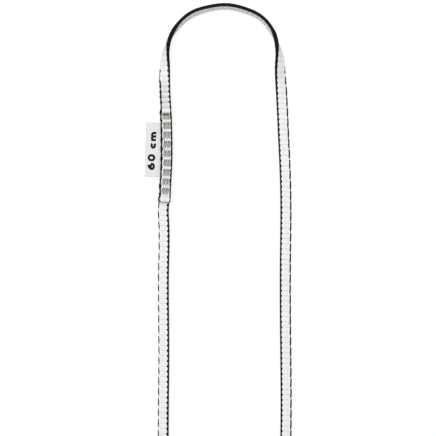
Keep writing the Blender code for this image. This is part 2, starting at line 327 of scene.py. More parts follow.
class Value:
    """A node's output that can be used in sums: each operation adds its Math node."""

    __add__, __radd__ = both_ways("ADD")
    __sub__, __rsub__ = both_ways("SUBTRACT")
    __mul__, __rmul__ = both_ways("MULTIPLY")
    __truediv__, __rtruediv__ = both_ways("DIVIDE")
    __pow__, __rpow__ = both_ways("POWER")

    def __init__(self, tree, node, output=0):
        self.tree = tree
        self.node = node
        self.socket = node.outputs[output] if node.outputs else None

    def __getitem__(self, output):
        """Another output of the same node."""
        return Value(self.tree, self.node, output)

    def __abs__(self):
        return arithmetic("ABSOLUTE", self)


def arithmetic(operation, *values):
    """A Math node on numbers and sockets, in the tree of the first socket among them."""
    tree = next(value.tree for value in values if isinstance(value, Value))
    return tree.node("ShaderNodeMath", {"operation": operation}, dict(enumerate(values)))


class Tree:
    """A node tree that is written as calls and sums."""

    def __init__(self, tree):
        self.tree = tree

    def join(self, value, socket):
        """Links a value to a socket, or sets the socket to a plain one."""
        if isinstance(value, Value):
            self.tree.links.new(value.socket, socket)
        else:
            socket.default_value = value

    def node(self, kind, settings=None, sockets=None, output=0):
        """One node: its settings first, then the values or links of its sockets."""
        node = self.tree.nodes.new(kind)
        for name, value in (settings or {}).items():
            setattr(node, name, value)
        for key, value in (sockets or {}).items():
            self.join(value, node.inputs[key])
        return Value(self, node, output)

    def vector(self, x, y, z):
        return self.node("ShaderNodeCombineXYZ", sockets={"X": x, "Y": y, "Z": z})

    def parts(self, vector):
        split = self.node("ShaderNodeSeparateXYZ", sockets={"Vector": vector})
        return split, split["Y"], split["Z"]

    def clamped(self, value):
        return arithmetic("MINIMUM", arithmetic("MAXIMUM", value, 0), 1)

    def nearest(self, along, pitch):
        """The distance to the nearest of the marks that stand a pitch apart from 0."""
        return abs(arithmetic("FRACT", along / pitch + 0.5) - 0.5) * pitch


class Growth(Tree):
    """A Geometry Nodes tree, with the steps that its recipes share."""

    def place(self):
        """The flat coordinates of each point."""
        return self.parts(self.node("GeometryNodeInputPosition"))

    def line(self, start, end, count):
        """A straight line along the strap, with evenly spaced points."""
        ends = {"Start": self.vector(0, start, 0), "End": self.vector(0, end, 0)}
        line = self.node("GeometryNodeCurvePrimitiveLine", {"mode": "POINTS"}, ends)
        return self.node("GeometryNodeResampleCurve", {"mode": "COUNT"}, {"Curve": line, "Count": count})

    def drawn(self, lines):
        """Curves through the lines of a mesh."""
        return self.node("GeometryNodeMeshToCurve", sockets={"Mesh": lines})

    def ring(self, sides, radius):
        sizes = {"Resolution": sides, "Radius": radius}
        return self.node("GeometryNodeCurvePrimitiveCircle", {"mode": "RADIUS"}, sizes)

    def swept(self, path, profile):
        """A profile swept along a path, with closed ends."""
        sockets = {"Curve": path, "Profile Curve": profile, "Fill Caps": True}
        return self.node("GeometryNodeCurveToMesh", sockets=sockets)

    def moved(self, shape, x, y, z):
        """A shape whose points each move by an offset of their own."""
        sockets = {"Geometry": shape, "Offset": self.vector(x, y, z)}
        return self.node("GeometryNodeSetPosition", sockets=sockets)

    def scattered(self, shape, marks, scale):
        sockets = {"Points": marks, "Instance": shape, "Scale": scale}
        return self.node("GeometryNodeInstanceOnPoints", sockets=sockets)

    def random(self, low, high, seed):
        sockets = {2: low, 3: high, "Seed": seed}
        return self.node("FunctionNodeRandomValue", {"data_type": "FLOAT"}, sockets, 1)


# Making flat pieces with Geometry Nodes


def placed(name, mesh):
    """A new object for a mesh, at the origin."""
    piece = bpy.data.objects.new(name, mesh)
    bpy.context.scene.collection.objects.link(piece)
    return piece


def line_mesh(name, lines, closed):
    """Edges through each list of points."""
    points = [tuple(point) for line in lines for point in line]
    edges = []
    start = 0
    for line in lines:
        last = start + len(line) - 1
        edges += [(index, index + 1) for index in range(start, last)]
        if closed:
            edges.append((last, start))
        start = last + 1
    mesh = bpy.data.meshes.new(name)
    mesh.from_pydata(points, edges, [])
    return mesh


def face_outwards(mesh):
    """Turns every face of the closed shells in a mesh outwards."""
    shape = bmesh.new()
    shape.from_mesh(mesh)
    bmesh.ops.recalc_face_normals(shape, faces=shape.faces)
    shape.to_mesh(mesh)
    shape.free()


def final_mesh(piece):
    """Replaces a piece's mesh and modifiers by the plain mesh that they make."""
    bpy.context.view_layer.update()
    graph = bpy.context.evaluated_depsgraph_get()
    evaluated = piece.evaluated_get(graph)
    mesh = bpy.data.meshes.new_from_object(evaluated, preserve_all_data_layers=True, depsgraph=graph)
    piece.modifiers.clear()
    piece.data = mesh
    finish = next(material for material in mesh.materials if material)
    mesh.materials.clear()
    mesh.materials.append(finish)
    mesh.polygons.foreach_set("material_index", [0] * len(mesh.polygons))
    face_outwards(mesh)


def grown(name, lines, recipe, sizes, finish, closed=False):
    """The plain mesh that a recipe of Geometry Nodes makes from lines of points."""
    group = bpy.data.node_groups.new(name, "GeometryNodeTree")
    face = group.interface
    face.new_socket("Lines", in_out="INPUT", socket_type="NodeSocketGeometry")
    for size, value in sizes.items():
        kind = "NodeSocketInt" if isinstance(value, int) else "NodeSocketFloat"
        face.new_socket(size, in_out="INPUT", socket_type=kind)
    face.new_socket("Finish", in_out="INPUT", socket_type="NodeSocketMaterial")
    face.new_socket("Made", in_out="OUTPUT", socket_type="NodeSocketGeometry")
    tree = Growth(group)
    entry = tree.node("NodeGroupInput")
    made = recipe(tree, entry)
    for step in ("GeometryNodeRealizeInstances", "GeometryNodeSetShadeSmooth"):
        made = tree.node(step, sockets={"Geometry": made})
    made = tree.node("GeometryNodeSetMaterial", sockets={"Geometry": made, "Material": entry["Finish"]})
    tree.node("NodeGroupOutput", sockets={"Made": made})

    piece = placed(name, line_mesh(name, lines, closed))
    modifier = piece.modifiers.new(name, "NODES")
    modifier.node_group = group
    values = {**sizes, "Finish": finish}
    for socket in face.items_tree:
        if socket.in_out == "INPUT" and socket.name in values:
            modifier[socket.identifier] = values[socket.name]
    final_mesh(piece)
    return piece


def ribbed_band(tree, entry):
    """The outline swept along the strap and drawn in at each rib line."""
    spine = tree.line(entry["Start"], entry["End"], entry["Stations"])
    band = tree.swept(spine, tree.drawn(entry))
    x, y, z = tree.place()
    away = tree.nearest(y, entry["Rib Pitch"]) / entry["Groove Width"]
    groove = tree.clamped(1 - away) ** 1.5
    depth = entry["Rib Depth"]
    return tree.moved(band, x * groove * depth * -0.12, 0, z * groove * depth * -1)


def grained_cords(tree, entry):
    """Two rows of twisted yarn down one edge: a fine grain, and lumps a pitch apart."""
    spine = tree.line(entry["Start"], entry["End"], entry["Stations"])
    cord = tree.swept(spine, tree.ring(entry["Sides"], entry["Radius"]))
    x, y, z = tree.place()
    round_it = arithmetic("ARCTAN2", z, x)
    grain = arithmetic("COSINE", round_it * 2 + y * (math.tau / EDGE_CORD_GRAIN))
    lumps = arithmetic("COSINE", (y - entry["Lump Start"]) * math.tau / entry["Lump Pitch"])
    lumps = lumps * (tree.clamped((y - entry["Full Lumps From"]) / LUMP_EASE) * 0.75 + 0.25)
    swell = grain * entry["Relief"] + lumps * entry["Lump"]
    cord = tree.moved(cord, x * swell, 0, z * swell)
    rows = tree.node("GeometryNodeJoinGeometry")
    for side in (1, -1):
        place = tree.vector(entry["Across"], 0, entry["Row Height"] * side)
        sockets = {"Geometry": cord, "Translation": place, "Scale": (1, 1, side)}
        tree.join(tree.node("GeometryNodeTransform", sockets=sockets), rows.node.inputs[0])
    return rows


def nubs_at(tree, entry):
    """The small loops of edge yarn that bind each rib line, one at each point."""
    bead = tree.node("GeometryNodeMeshUVSphere", sockets={"Segments": 8, "Rings": 5, "Radius": 1.0})
    swell = tree.random(0.85, 1.15, 1)
    scale = tree.vector(entry["Reach"] * swell, entry["Length"] * swell, entry["Rise"])
    return tree.scattered(bead, entry, scale)


def dashes_at(tree, entry):
    """Short floats of yarn that dive in at both ends, one at each point."""
    length = entry["Length"]
    line = tree.line(length * -0.5, length * 0.5, DASH_STATIONS)
    _, y, _ = tree.place()
    share = abs(y * 2 / length) ** 5
    lean = tree.clamped(y * 2 / length * entry["Lean"]) ** 2
    arched = tree.moved(line, lean * -DASH_LEAN, 0, share * entry["Dive"] * -1)
    dash = tree.swept(arched, tree.ring(DASH_SIDES, entry["Radius"]))
    scale = tree.vector(1, tree.random(0.92, 1.04, 5), entry["Flatness"])
    return tree.scattered(dash, entry, scale)


def tacked(tree, entry):
    """One bartack's threads, repeated along the lap."""
    thread = tree.swept(tree.drawn(entry), tree.ring(THREAD_SIDES, entry["Radius"]))
    row = {
        "Count": entry["Count"],
        "Start Location": tree.vector(0, entry["Start"], 0),
        "Offset": tree.vector(0, entry["Pitch"], 0),
    }
    marks = tree.node("GeometryNodeMeshLine", {"mode": "OFFSET"}, row)
    scale = tree.vector(tree.random(0.96, 1.04, 3), tree.random(0.95, 1.05, 4), 1)
    return tree.scattered(thread, marks, scale)


def inked(tree, entry):
    """Flat strokes of one width along every line."""
    steps = {"Curve": tree.drawn(entry), "Length": entry["Step"]}
    path = tree.node("GeometryNodeResampleCurve", {"mode": "LENGTH"}, steps)
    sizes = {"Width": entry["Stroke"], "Height": entry["Film"]}
    nib = tree.node("GeometryNodeCurvePrimitiveQuadrilateral", {"mode": "RECTANGLE"}, sizes)
    return tree.swept(path, nib)


# The route


def closed_spline(points, samples):
    """A periodic cubic curve through the points."""
    points = np.array(points)
    ahead = np.roll(points, -1, axis=0)
    spans = np.linalg.norm(ahead - points, axis=1)
    before = np.roll(spans, 1)
    ones = np.eye(len(points))
    matrix = 2 * (before + spans)[:, None] * ones
    matrix += before[:, None] * np.roll(ones, -1, axis=1)
    matrix += spans[:, None] * np.roll(ones, 1, axis=1)
    slopes = (ahead - points) / spans[:, None]
    bends = np.linalg.solve(matrix, 6 * (slopes - np.roll(slopes, 1, axis=0)))
    share = (np.arange(samples) / samples)[None, :, None]
    start, end = points[:, None], ahead[:, None]
    bend, bend_ahead = bends[:, None], np.roll(bends, -1, axis=0)[:, None]
    square = spans[:, None, None] ** 2 / 6
    curve = start * (1 - share) + end * share
    curve += square * bend * ((1 - share) ** 3 - (1 - share))
    curve += square * bend_ahead * (share**3 - share)
    return curve.reshape(-1, 2)


class Route:
    """The strap's middle line: places, turn and height by distance along the strap."""

    def __init__(self):
        plan = closed_spline(ROUTE, ROUTE_SAMPLES)
        self.closed = np.vstack((plan, plan[:1]))
        steps = np.linalg.norm(np.diff(self.closed, axis=0), axis=1)
        self.reach = np.concatenate(([0], np.cumsum(steps)))
        self.round = float(self.reach[-1])
        self.length = self.round + LAP_LENGTH
        self.top = plan[:, 1].max()
        self.bottom = plan[:, 1].min()
        self.crown = self.reach[int(plan[:, 1].argmax())]

    def plan_at(self, along):
        along = along % self.round
        return np.stack([np.interp(along, self.reach, self.closed[:, axis]) for axis in (0, 1)], axis=1)

    def outside_at(self, along):
        """The level direction that points out of the loop."""
        ahead = self.plan_at(along + TANGENT_STEP) - self.plan_at(along - TANGENT_STEP)
        ahead /= np.linalg.norm(ahead, axis=1, keepdims=True)
        return np.stack((ahead[:, 1], -ahead[:, 0]), axis=1)

    def depth_at(self, along):
        """Whether a place is on the near leg, and its distance from a bend's end."""
        x, y = self.plan_at(along).T
        return x < 0, np.minimum(self.top - y, y - self.bottom)

    def upright_at(self, along):
        """How far the web has turned on edge: 0 on the legs, 1 round the bends."""
        on_near_leg, depth = self.depth_at(along)
        twists = (NEAR_TWIST, FAR_TWIST)
        near, far = (smooth((start + length - depth) / length) for start, length in twists)
        far += (1 - far) * FAR_TAIL * smooth((FAR_TAIL_END - depth) / FAR_TAIL_LENGTH)
        return np.where(on_near_leg, near, far)

    def sway_at(self, along):
        """How far the twisting web stands out of its smooth route."""
        on_near_leg, depth = self.depth_at(along)
        near, far = bump(depth, *NEAR_SWAY), bump(depth, *FAR_SWAY)
        below_lap = sum(bump(along - LAP_LENGTH, *sway) for sway in LAP_END_SWAY)
        return np.where(on_near_leg, near, far) + below_lap

    def shoulder_at(self, along):
        """1 on the bend's shoulder by the label, 0 elsewhere."""
        x, y = self.plan_at(along).T
        on_edge = smooth((self.upright_at(along) - 0.8) / 0.2)
        return bump(x, 1, *SHOULDER_PLACE) * smooth(y / 0.05) * on_edge

    def turn_at(self, along):
        """The web's angle to the surface, with a slight roll on either leg and a
        little more lean on one shoulder of the bend by the label."""
        upright = self.upright_at(along)
        below_lap = smooth((along - LAP_LENGTH) / ROLL_LENGTH) * (along < self.crown)
        roll = np.where(self.plan_at(along)[:, 0] < 0, NEAR_LEG_ROLL * below_lap, FAR_LEG_ROLL)
        lean = SHOULDER_LEAN * self.shoulder_at(along)
        return np.radians(ON_EDGE_ANGLE * upright + lean + roll * (1 - upright))

    def height_at(self, along):
        """The middle's height, with the web's lower edge on the surface or the lap."""
        turn = self.turn_at(along)
        half, tall = WEB_WIDTH / 2, WEB_THICKNESS / 2
        reach, rise = abs(np.sin(turn)), np.cos(turn)
        resting = np.max([(half - inset) * reach + tall * up * rise for inset, up in LOWER_EDGE], axis=0)
        climb = smooth((along - self.crown) / (self.round - self.crown) * 2)
        return resting + (np.maximum(resting, LAP_HEIGHT) - resting) * climb

    def lay(self, across, along, up):
        """Where points that were made flat come to lie on the strap."""
        turn = self.turn_at(along)
        level = across * np.cos(turn) + up * np.sin(turn)
        level += self.sway_at(along) - BEND_LEAN * self.upright_at(along)
        level -= SHOULDER_SHIFT * self.shoulder_at(along)
        height = self.height_at(along) + up * np.cos(turn) - across * np.sin(turn)
        plan = self.plan_at(along) + self.outside_at(along) * level[:, None]
        return np.column_stack((plan, np.maximum(height, 0)))

    def lay_on_lap(self, flat):
        """The same for points whose height is already taken from the surface."""
        across, along, up = flat.T
        plan = self.plan_at(along) + self.outside_at(along) * across[:, None]
        return np.column_stack((plan, np.maximum(up, 0)))


route = Route()


def tack_press(across, lap_along):
    """How strongly a bartack presses on the web: 1 under its threads, 0 beside it."""
    index = np.clip(np.round((lap_along - TACK_FIRST) / TACK_PITCH), 0, TACK_COUNT - 1)
    away = abs(lap_along - TACK_FIRST - index * TACK_PITCH)
    past_end, past_side = PRESS_PAST
    fade_end, fade_side = PRESS_FADE
    inside = smooth((TACK_LENGTH / 2 + past_end - away) / fade_end)
    return inside * smooth((TACK_WIDTH / 2 + past_side - abs(across - TACK_SHIFT)) / fade_side)


def settled(flat):
    """Flat points as the sewing and the fused ends leave them: the plies swell towards
    each other in the lap, sink under each bartack and thin out at both ends."""
    across, along, up = flat.T.copy()
    for start, face in ((0, -1), (route.round, 1)):
        lap_along = along - start
        lapped = smooth(lap_along / LAP_RAMP + 1) * smooth((LAP_LENGTH - lap_along) / LAP_RAMP + 1)
        outer = np.clip(up * face / (WEB_THICKNESS / 2), 0, 1)
        inner = np.clip(-up * face / (WEB_THICKNESS / 2), 0, 1)
        press = tack_press(across, lap_along)
        middle = smooth((BULGE_PLACE[0] - abs(across)) / BULGE_PLACE[1])
        change = TACK_BULGE * (1 - press) * middle - TACK_SINK * press
        up += lapped * face * (outer * change - inner * PLY_SWELL)
    from_end = np.minimum(along, route.length - along)
    share = np.clip(1 - from_end / FUSED_LENGTH, 0, 1) ** 2
    narrowed, flattened = (1 - squeeze * share for squeeze in FUSED_SQUEEZE)
    return across * narrowed, along, up * flattened


def settled_lay(flat):
    """Where the points of a flat piece of trim come to lie on the strap."""
    return route.lay(*settled(flat))


def points_of(mesh):
    points = np.empty(len(mesh.vertices) * 3)
    mesh.vertices.foreach_get("co", points)
    return points.reshape(-1, 3)


def move_points(mesh, places):
    mesh.vertices.foreach_set("co", places.astype(np.float32).ravel())
    mesh.update()


def keep_place(mesh, name, flat):
    """Keeps the flat places of a mesh's points, for its finish."""
    kept = mesh.attributes.new(name, "FLOAT_VECTOR", "POINT")
    kept.data.foreach_set("vector", flat.astype(np.float32).ravel())


def laid(piece, way):
    """Moves a flat piece to its place, and keeps its flat place."""
    flat = points_of(piece.data)
    keep_place(piece.data, "flat_place", flat)
    move_points(piece.data, way(flat))
    return piece


# Finishes


class Finish(Tree):
    """A material that is written as calls and sums on one principled shader."""

    def __init__(self, name, place="flat_place"):
        self.material = bpy.data.materials.new(name)
        self.material.use_nodes = True
        super().__init__(self.material.node_tree)
        self.shader = self.tree.nodes["Principled BSDF"]
        settings = {"attribute_type": "GEOMETRY", "attribute_name": place}
        self.x, self.y, self.z = self.parts(self.node("ShaderNodeAttribute", settings, output="Vector"))

    def noise(self, across, along, up, detail=3.0):
        """Noise whose grain is that many patches a metre in each direction."""
        where = self.vector(self.x * across, self.y * along, self.z * up)
        sockets = {"Vector": where, "Scale": 1.0, "Detail": detail, "Roughness": 0.55}
        return self.node("ShaderNodeTexNoise", {"noise_dimensions": "3D"}, sockets, "Fac")

    def mixed(self, share, *colours):
        """A colour between two colours."""
        first, second = (end if isinstance(end, Value) else (*end, 1) for end in colours)
        return self.node("ShaderNodeMix", {"data_type": "RGBA"}, {0: share, 6: first, 7: second}, 2)

    def bump(self, height, distance, strength=1.0):
        sockets = {"Height": height, "Distance": distance, "Strength": strength}
        return self.node("ShaderNodeBump", sockets=sockets)

    def surface(self, **values):
        for name, value in values.items():
            self.join(value, self.shader.inputs[name.replace("_", " ")])
        return self.material


def from_tack(along):
    """A place's share of its bartack's pitch: 0.5 at the bartack's middle."""
    return arithmetic("FRACT", (along - TACK_FIRST) / TACK_PITCH + 0.5)


def needle_hole_shade(finish):
    """Painted shade: 1 in the holes where a bartack's thread goes down, which are darkened
    as if in shade, at the first of its two rows of turns and less at the last."""
    lap_along = arithmetic("MODULO", finish.y, route.round)
    away = from_tack(lap_along) * TACK_PITCH - TACK_PITCH / 2
    first_row = finish.clamped(1.4 - abs(away + TACK_LENGTH / 2) / HOLE_REACH[1])
    last_row = finish.clamped(1.5 - abs(away - TACK_LENGTH / 2) / HOLE_REACH[1]) * 0.75
    turns = OVER_STROKES[2] / OVER_STROKES[0] * 2
    side = TACK_WIDTH / 2 - THREAD_RADIUS
    from_turn = finish.nearest(finish.x - TACK_SHIFT + side, turns)
    column = finish.clamped(1.4 - from_turn / HOLE_REACH[0])
    sewn = finish.clamped((LAP_LENGTH - HOLES_END - lap_along) * HOLES_FADE)
    sewn = sewn * finish.clamped((side + HOLES_PAST - abs(finish.x - TACK_SHIFT)) * HOLES_FADE)
    return arithmetic("MAXIMUM", first_row, last_row) * column * sewn


def white_weave():
    """Bleached polyethylene yarn: silky filaments and random mottling, a little darker on
    the lap. Painted shade darkens the rib lines, the gaps between yarns, the weave's
    creases, the needle holes, the run before the lap and the far leg's twist; painted
    highlights lighten both edges and the far bend's shoulder. The front ply's end is a
    fused grey rim, darkened further to paint the shadow line along it."""
    finish = Finish("white_polyethylene_weave")
    # Painted shade: the rib lines are darkened in colour as recesses in shade; the same mask also deepens
    # the bump there.
    groove = finish.clamped(1 - finish.nearest(finish.y, RIB_PITCH) / (RIB_GROOVE * 0.55))
    # Painted shade: the gaps between the yarns across the face are darkened a little; the same mask lowers
    # the bump there.
    yarn_width = (BODY_INNER + BODY_OUTER) / YARNS_ACROSS
    from_gap = finish.nearest(finish.x + BODY_INNER, yarn_width)
    between = finish.clamped(1 - from_gap / (yarn_width * 0.22))
    filaments = finish.noise(16000, 900, 16000)
    warp = arithmetic("SINE", (finish.x + finish.z) * (math.pi / FINE_YARN))
    weft = arithmetic("SINE", finish.y * (math.pi / PICK))
    pillow = abs(warp * weft) ** 0.4

    patches = finish.noise(620, 240, 260, 2.0)
    middle = (BODY_OUTER - BODY_INNER) / 2
    # Painted highlight: the colour is lighter along both edges of the face.
    edge_highlight = finish.clamped((abs(finish.x - middle) - EDGE_HIGHLIGHT_PLACE[0]) / EDGE_HIGHLIGHT_PLACE[1])
    # Painted shade before the lap: this zone is darkened, and the random mottling is stronger there.
    before_lap = (finish.y - (route.round - LAP_YARN_LEAD)) / DRAW_RAMP
    handled_and_shaded = finish.clamped(before_lap) * finish.clamped((route.round - finish.y) / LAP_RAMP)
    lapped = finish.clamped((finish.y - route.round) / LAP_RAMP)
    shaded = finish.clamped(1 - abs(finish.y - SHADED_PLACE) / SHADED_REACH)
    # Random mottling and a darker lap, with painted light: painted shade in the rib lines, the yarn gaps,
    # before the lap, on the far leg's twist and in the creases, and less of it along both edges.
    tone_and_painted_light = groove * 0.85 + between * 0.12 + (patches - 0.5) * (0.8 + handled_and_shaded * 0.8)
    tone_and_painted_light = tone_and_painted_light + handled_and_shaded * 0.50 + shaded * 0.70 + lapped * 0.35
    # Painted shade in the weave's creases between its pillows, and the painted highlight along both edges.
    tone_and_painted_light = tone_and_painted_light + (1 - pillow) * 0.60 - 0.13 - edge_highlight * 0.34
    colour = finish.mixed(finish.clamped(tone_and_painted_light), WHITE, TONE_AND_SHADE_WHITE)
    colour = finish.mixed(finish.clamped((filaments - 0.35) * 0.25), colour, SILKY_WHITE)

    # Painted shade: the rib grooves before the lap are darkened in stripes, as if in shade.
    rungs = arithmetic("COSINE", finish.y * (math.tau / RIB_PITCH)) * 0.5 + 0.5
    rung_shading = finish.clamped(1.3 - abs(finish.y - (route.round - RUNGS_BEFORE_LAP)) / RUNGS_REACH)
    colour = finish.mixed(rungs * rung_shading * 0.62, colour, BEFORE_LAP_RUNG_SHADE)
    # Painted highlight: the far bend's shoulder is lighter, with painted shade in its rib grooves.
    shoulder_highlight = finish.clamped(1.5 - abs(finish.y - SHOULDER_HIGHLIGHT_PLACE) / SHOULDER_HIGHLIGHT_REACH)
    colour = finish.mixed(shoulder_highlight, colour, SHOULDER_HIGHLIGHT_WHITE)
    colour = finish.mixed(shoulder_highlight * rungs**4 * 0.45, colour, SHOULDER_RUNG_SHADE)
    colour = finish.mixed(needle_hole_shade(finish), colour, NEEDLE_HOLE_SHADE)
    # The front ply's cut end: its fused yarn, made a darker grey to paint the shadow line along the end.
    fused = finish.clamped((finish.y - (route.length - FUSED_PLACE[0])) / FUSED_PLACE[1])
    colour = finish.mixed(fused, colour, FUSED_END_AND_SHADOW)
    height = pillow + filaments * 0.5 - between * 0.4 - groove * 0.6
    return finish.surface(
        Base_Color=colour,
        Roughness=0.46 + filaments * 0.16,
        Normal=finish.bump(height, 0.00007, 0.7),
        Specular_IOR_Level=0.35,
        Sheen_Weight=0.12,
        Sheen_Roughness=0.4,
    )


def black_yarn():
    """Dyed black filament yarn, a little lighter where it is rubbed."""
    finish = Finish("black_edge_yarn")
    filaments = finish.noise(14000, 2600, 14000)
    rubbed = finish.noise(900, 700, 900, 2.0)
    slant = finish.x * 9000 + finish.y * 11000 + abs(finish.z) * 9000
    strands = abs(arithmetic("SINE", slant * 0.5)) ** 0.5
    colour = finish.mixed(finish.clamped(filaments * 1.6 - 0.72), BLACK, BLACK_SHEEN)
    colour = finish.mixed(finish.clamped((rubbed - 0.62) * 3) * strands, colour, RUBBED_BLACK)
    return finish.surface(
        Base_Color=colour,
        Roughness=0.55 + filaments * 0.2,
        Normal=finish.bump(strands + filaments * 0.5, 0.00008, 0.8),
        Specular_IOR_Level=0.10,
        Sheen_Weight=0.015,
    )


def sewing_thread(name, light, dark, first_row):
    """Twisted sewing thread, with painted shade where it goes into the web: up to the first
    row of holes, at the second row inside a bartack and at its last holes."""
    finish = Finish(name)
    along = (from_tack(finish.y) - 0.5) * (TACK_PITCH / TACK_LENGTH)
    first_holes = finish.clamped((first_row - along) / 0.09)
    second_row = finish.clamped(1.2 - abs(along - 0.31) / 0.11) * 0.50
    last_holes = finish.clamped((along - 0.36) / 0.10) * 0.6
    # Painted shade where the thread dives into the web: up to the first holes, at the second row and at
    # the last holes.
    sunk = arithmetic("MAXIMUM", arithmetic("MAXIMUM", first_holes, last_holes), second_row)
    twist = arithmetic("SINE", finish.x * 5200 + finish.y * 9000) * 0.5 + 0.5
    fibres = finish.noise(9000, 3000, 9000)
    colour = finish.mixed(finish.clamped(fibres * 0.9 - 0.2), light, dark)
    colour = finish.mixed(sunk, colour, tuple(share * 0.35 for share in dark))
    return finish.surface(
        Base_Color=colour,
        Roughness=0.45 + fibres * 0.2,
        Normal=finish.bump(twist * 0.7 + fibres * 0.3, 0.00006, 0.8),
        Specular_IOR_Level=0.4,
        Sheen_Weight=0.1,
    )


def label_weave():
    """Close-woven satin tape, with fused edges."""
    finish = Finish("label_satin", "cloth_place")
    warp = arithmetic("SINE", finish.x * (math.tau / SATIN_WARP)) * 0.5 + 0.5
    weft = arithmetic("SINE", finish.y * (math.tau / SATIN_WEFT)) * 0.5 + 0.5
    grain = finish.noise(2600, 900, 2600)
    edge = finish.clamped(1 - finish.z / SATIN_EDGE)
    colour = finish.mixed(finish.clamped(grain * 0.5 + warp * weft * 0.3), SATIN, SATIN_SHADE)
    colour = finish.mixed(edge * 0.5, colour, FUSED_SATIN)
    return finish.surface(
        Base_Color=colour,
        Roughness=0.40 + grain * 0.2,
        Normal=finish.bump(warp * weft + grain * 0.3, 0.00004, 0.7),
        Specular_IOR_Level=0.4,
        Sheen_Weight=0.1,
    )


def label_ink():
    """Black print, thin enough that the cloth's grain breaks it up a little."""
    finish = Finish("label_ink", "cloth_place")
    grain = finish.noise(5200, 5200, 5200)
    return finish.surface(
        Base_Color=finish.mixed(finish.clamped((grain - 0.60) * 2), BLACK, THIN_INK),
        Roughness=0.55 + grain * 0.15,
        Normal=finish.bump(grain, 0.00002, 0.5),
        Specular_IOR_Level=0.15,
    )


def seen_ray(tree):
    """1 for the rays that show the surroundings themselves, 0 for those that light."""
    path = tree.node("ShaderNodeLightPath")
    mirrored = arithmetic("MAXIMUM", path["Is Glossy Ray"], path["Is Transmission Ray"])
    return arithmetic("MAXIMUM", path["Is Camera Ray"], mirrored)


def floor_finish():
    """A matt white table top that reads as a white background and keeps soft shadows."""
    material = bpy.data.materials.new("white_table")
    material.use_nodes = True
    tree = Tree(material.node_tree)
    material.node_tree.nodes.remove(material.node_tree.nodes["Principled BSDF"])
    matt = tree.node("ShaderNodeBsdfDiffuse", sockets={"Color": (0.56, 0.56, 0.56, 1)})
    bright = tree.node("ShaderNodeEmission", sockets={"Color": (1, 1, 1, 1), "Strength": 0.80})
    shown = tree.node("ShaderNodeBsdfDiffuse", sockets={"Color": (0.24, 0.24, 0.24, 1)})
    shown = tree.node("ShaderNodeAddShader", sockets={0: bright, 1: shown})
    mix = tree.node("ShaderNodeMixShader", sockets={0: seen_ray(tree), 1: matt, 2: shown})
    tree.join(mix, material.node_tree.nodes["Material Output"].inputs["Surface"])
    return material


# The strap


def near_lap(along):
    """How far the lap's sewing draws the web: 0 elsewhere, and the two ramps before
    and at its front ply."""
    lead = smooth((along - (route.round - LAP_YARN_LEAD)) / DRAW_RAMP)
    lapped = smooth((along - route.round + DRAW_AHEAD) / DRAW_RAMP)
    return lead, lapped


def end_draw(along):
    """How far the front ply's end stands inwards of the ply below it."""
    start, length = END_DRAW_PLACE
    return END_DRAW * smooth((along - route.length + start) / length)


def edge_swell(along):
    """Where the twisting web pushes its inner edge yarn up: 1 there, 0 on the legs."""
    on_near_leg, depth = route.depth_at(along)
    near, far = (smooth((end - depth) / length) for end, length in (NEAR_SWELL, FAR_SWELL))
    return np.where(on_near_leg, near, far)


def by_leg(along, near, far):
    """A small value of its own for each leg, and none round the bends."""
    on_near_leg, _ = route.depth_at(along)
    return np.where(on_near_leg, near, far) * (1 - route.upright_at(along))


def body_outline():
    """The white body's section: yarns side by side on both faces, one rounded edge."""
    tall = WEB_THICKNESS / 2
    outer = BODY_OUTER - BODY_EASE
    across = np.linspace(-BODY_INNER, outer, 2 * YARNS_ACROSS + 1)
    face = [(x, tall - (0 if index % 2 else YARN_DIP), 0) for index, x in enumerate(across)]
    rounding = [
        (outer + BODY_EASE * math.cos(angle), (tall - YARN_DIP) * math.sin(angle), 0)
        for angle in np.radians((60, 30, 0, -30, -60))
    ]
    return face + rounding + [(x, -y, 0) for x, y, _ in reversed(face)]


def woven_body(finish):
    """The white body of the strap, ribbed from end to end."""
    sizes = {
        "Start": 0.0,
        "End": route.length,
        "Stations": int(route.length / RIB_PITCH * RIB_STEPS) + 1,
        "Rib Pitch": RIB_PITCH,
        "Rib Depth": RIB_DEPTH,
        "Groove Width": RIB_GROOVE,
    }
    piece = grown("woven_body", [body_outline()], ribbed_band, sizes, finish, closed=True)

    def way(flat):
        across, along, up = settled(flat)
        lead, lapped = near_lap(along)
        drawn = LEAD_DRAW * lead + (LAP_DRAW - LEAD_DRAW) * lapped
        start, length = BODY_SWELL_PLACE
        swollen = edge_swell(along) * BODY_SWELL * smooth((-across - start) / length)
        drawn += end_draw(along)
        return route.lay(across - drawn + swollen, along, up)

    return laid(piece, way)


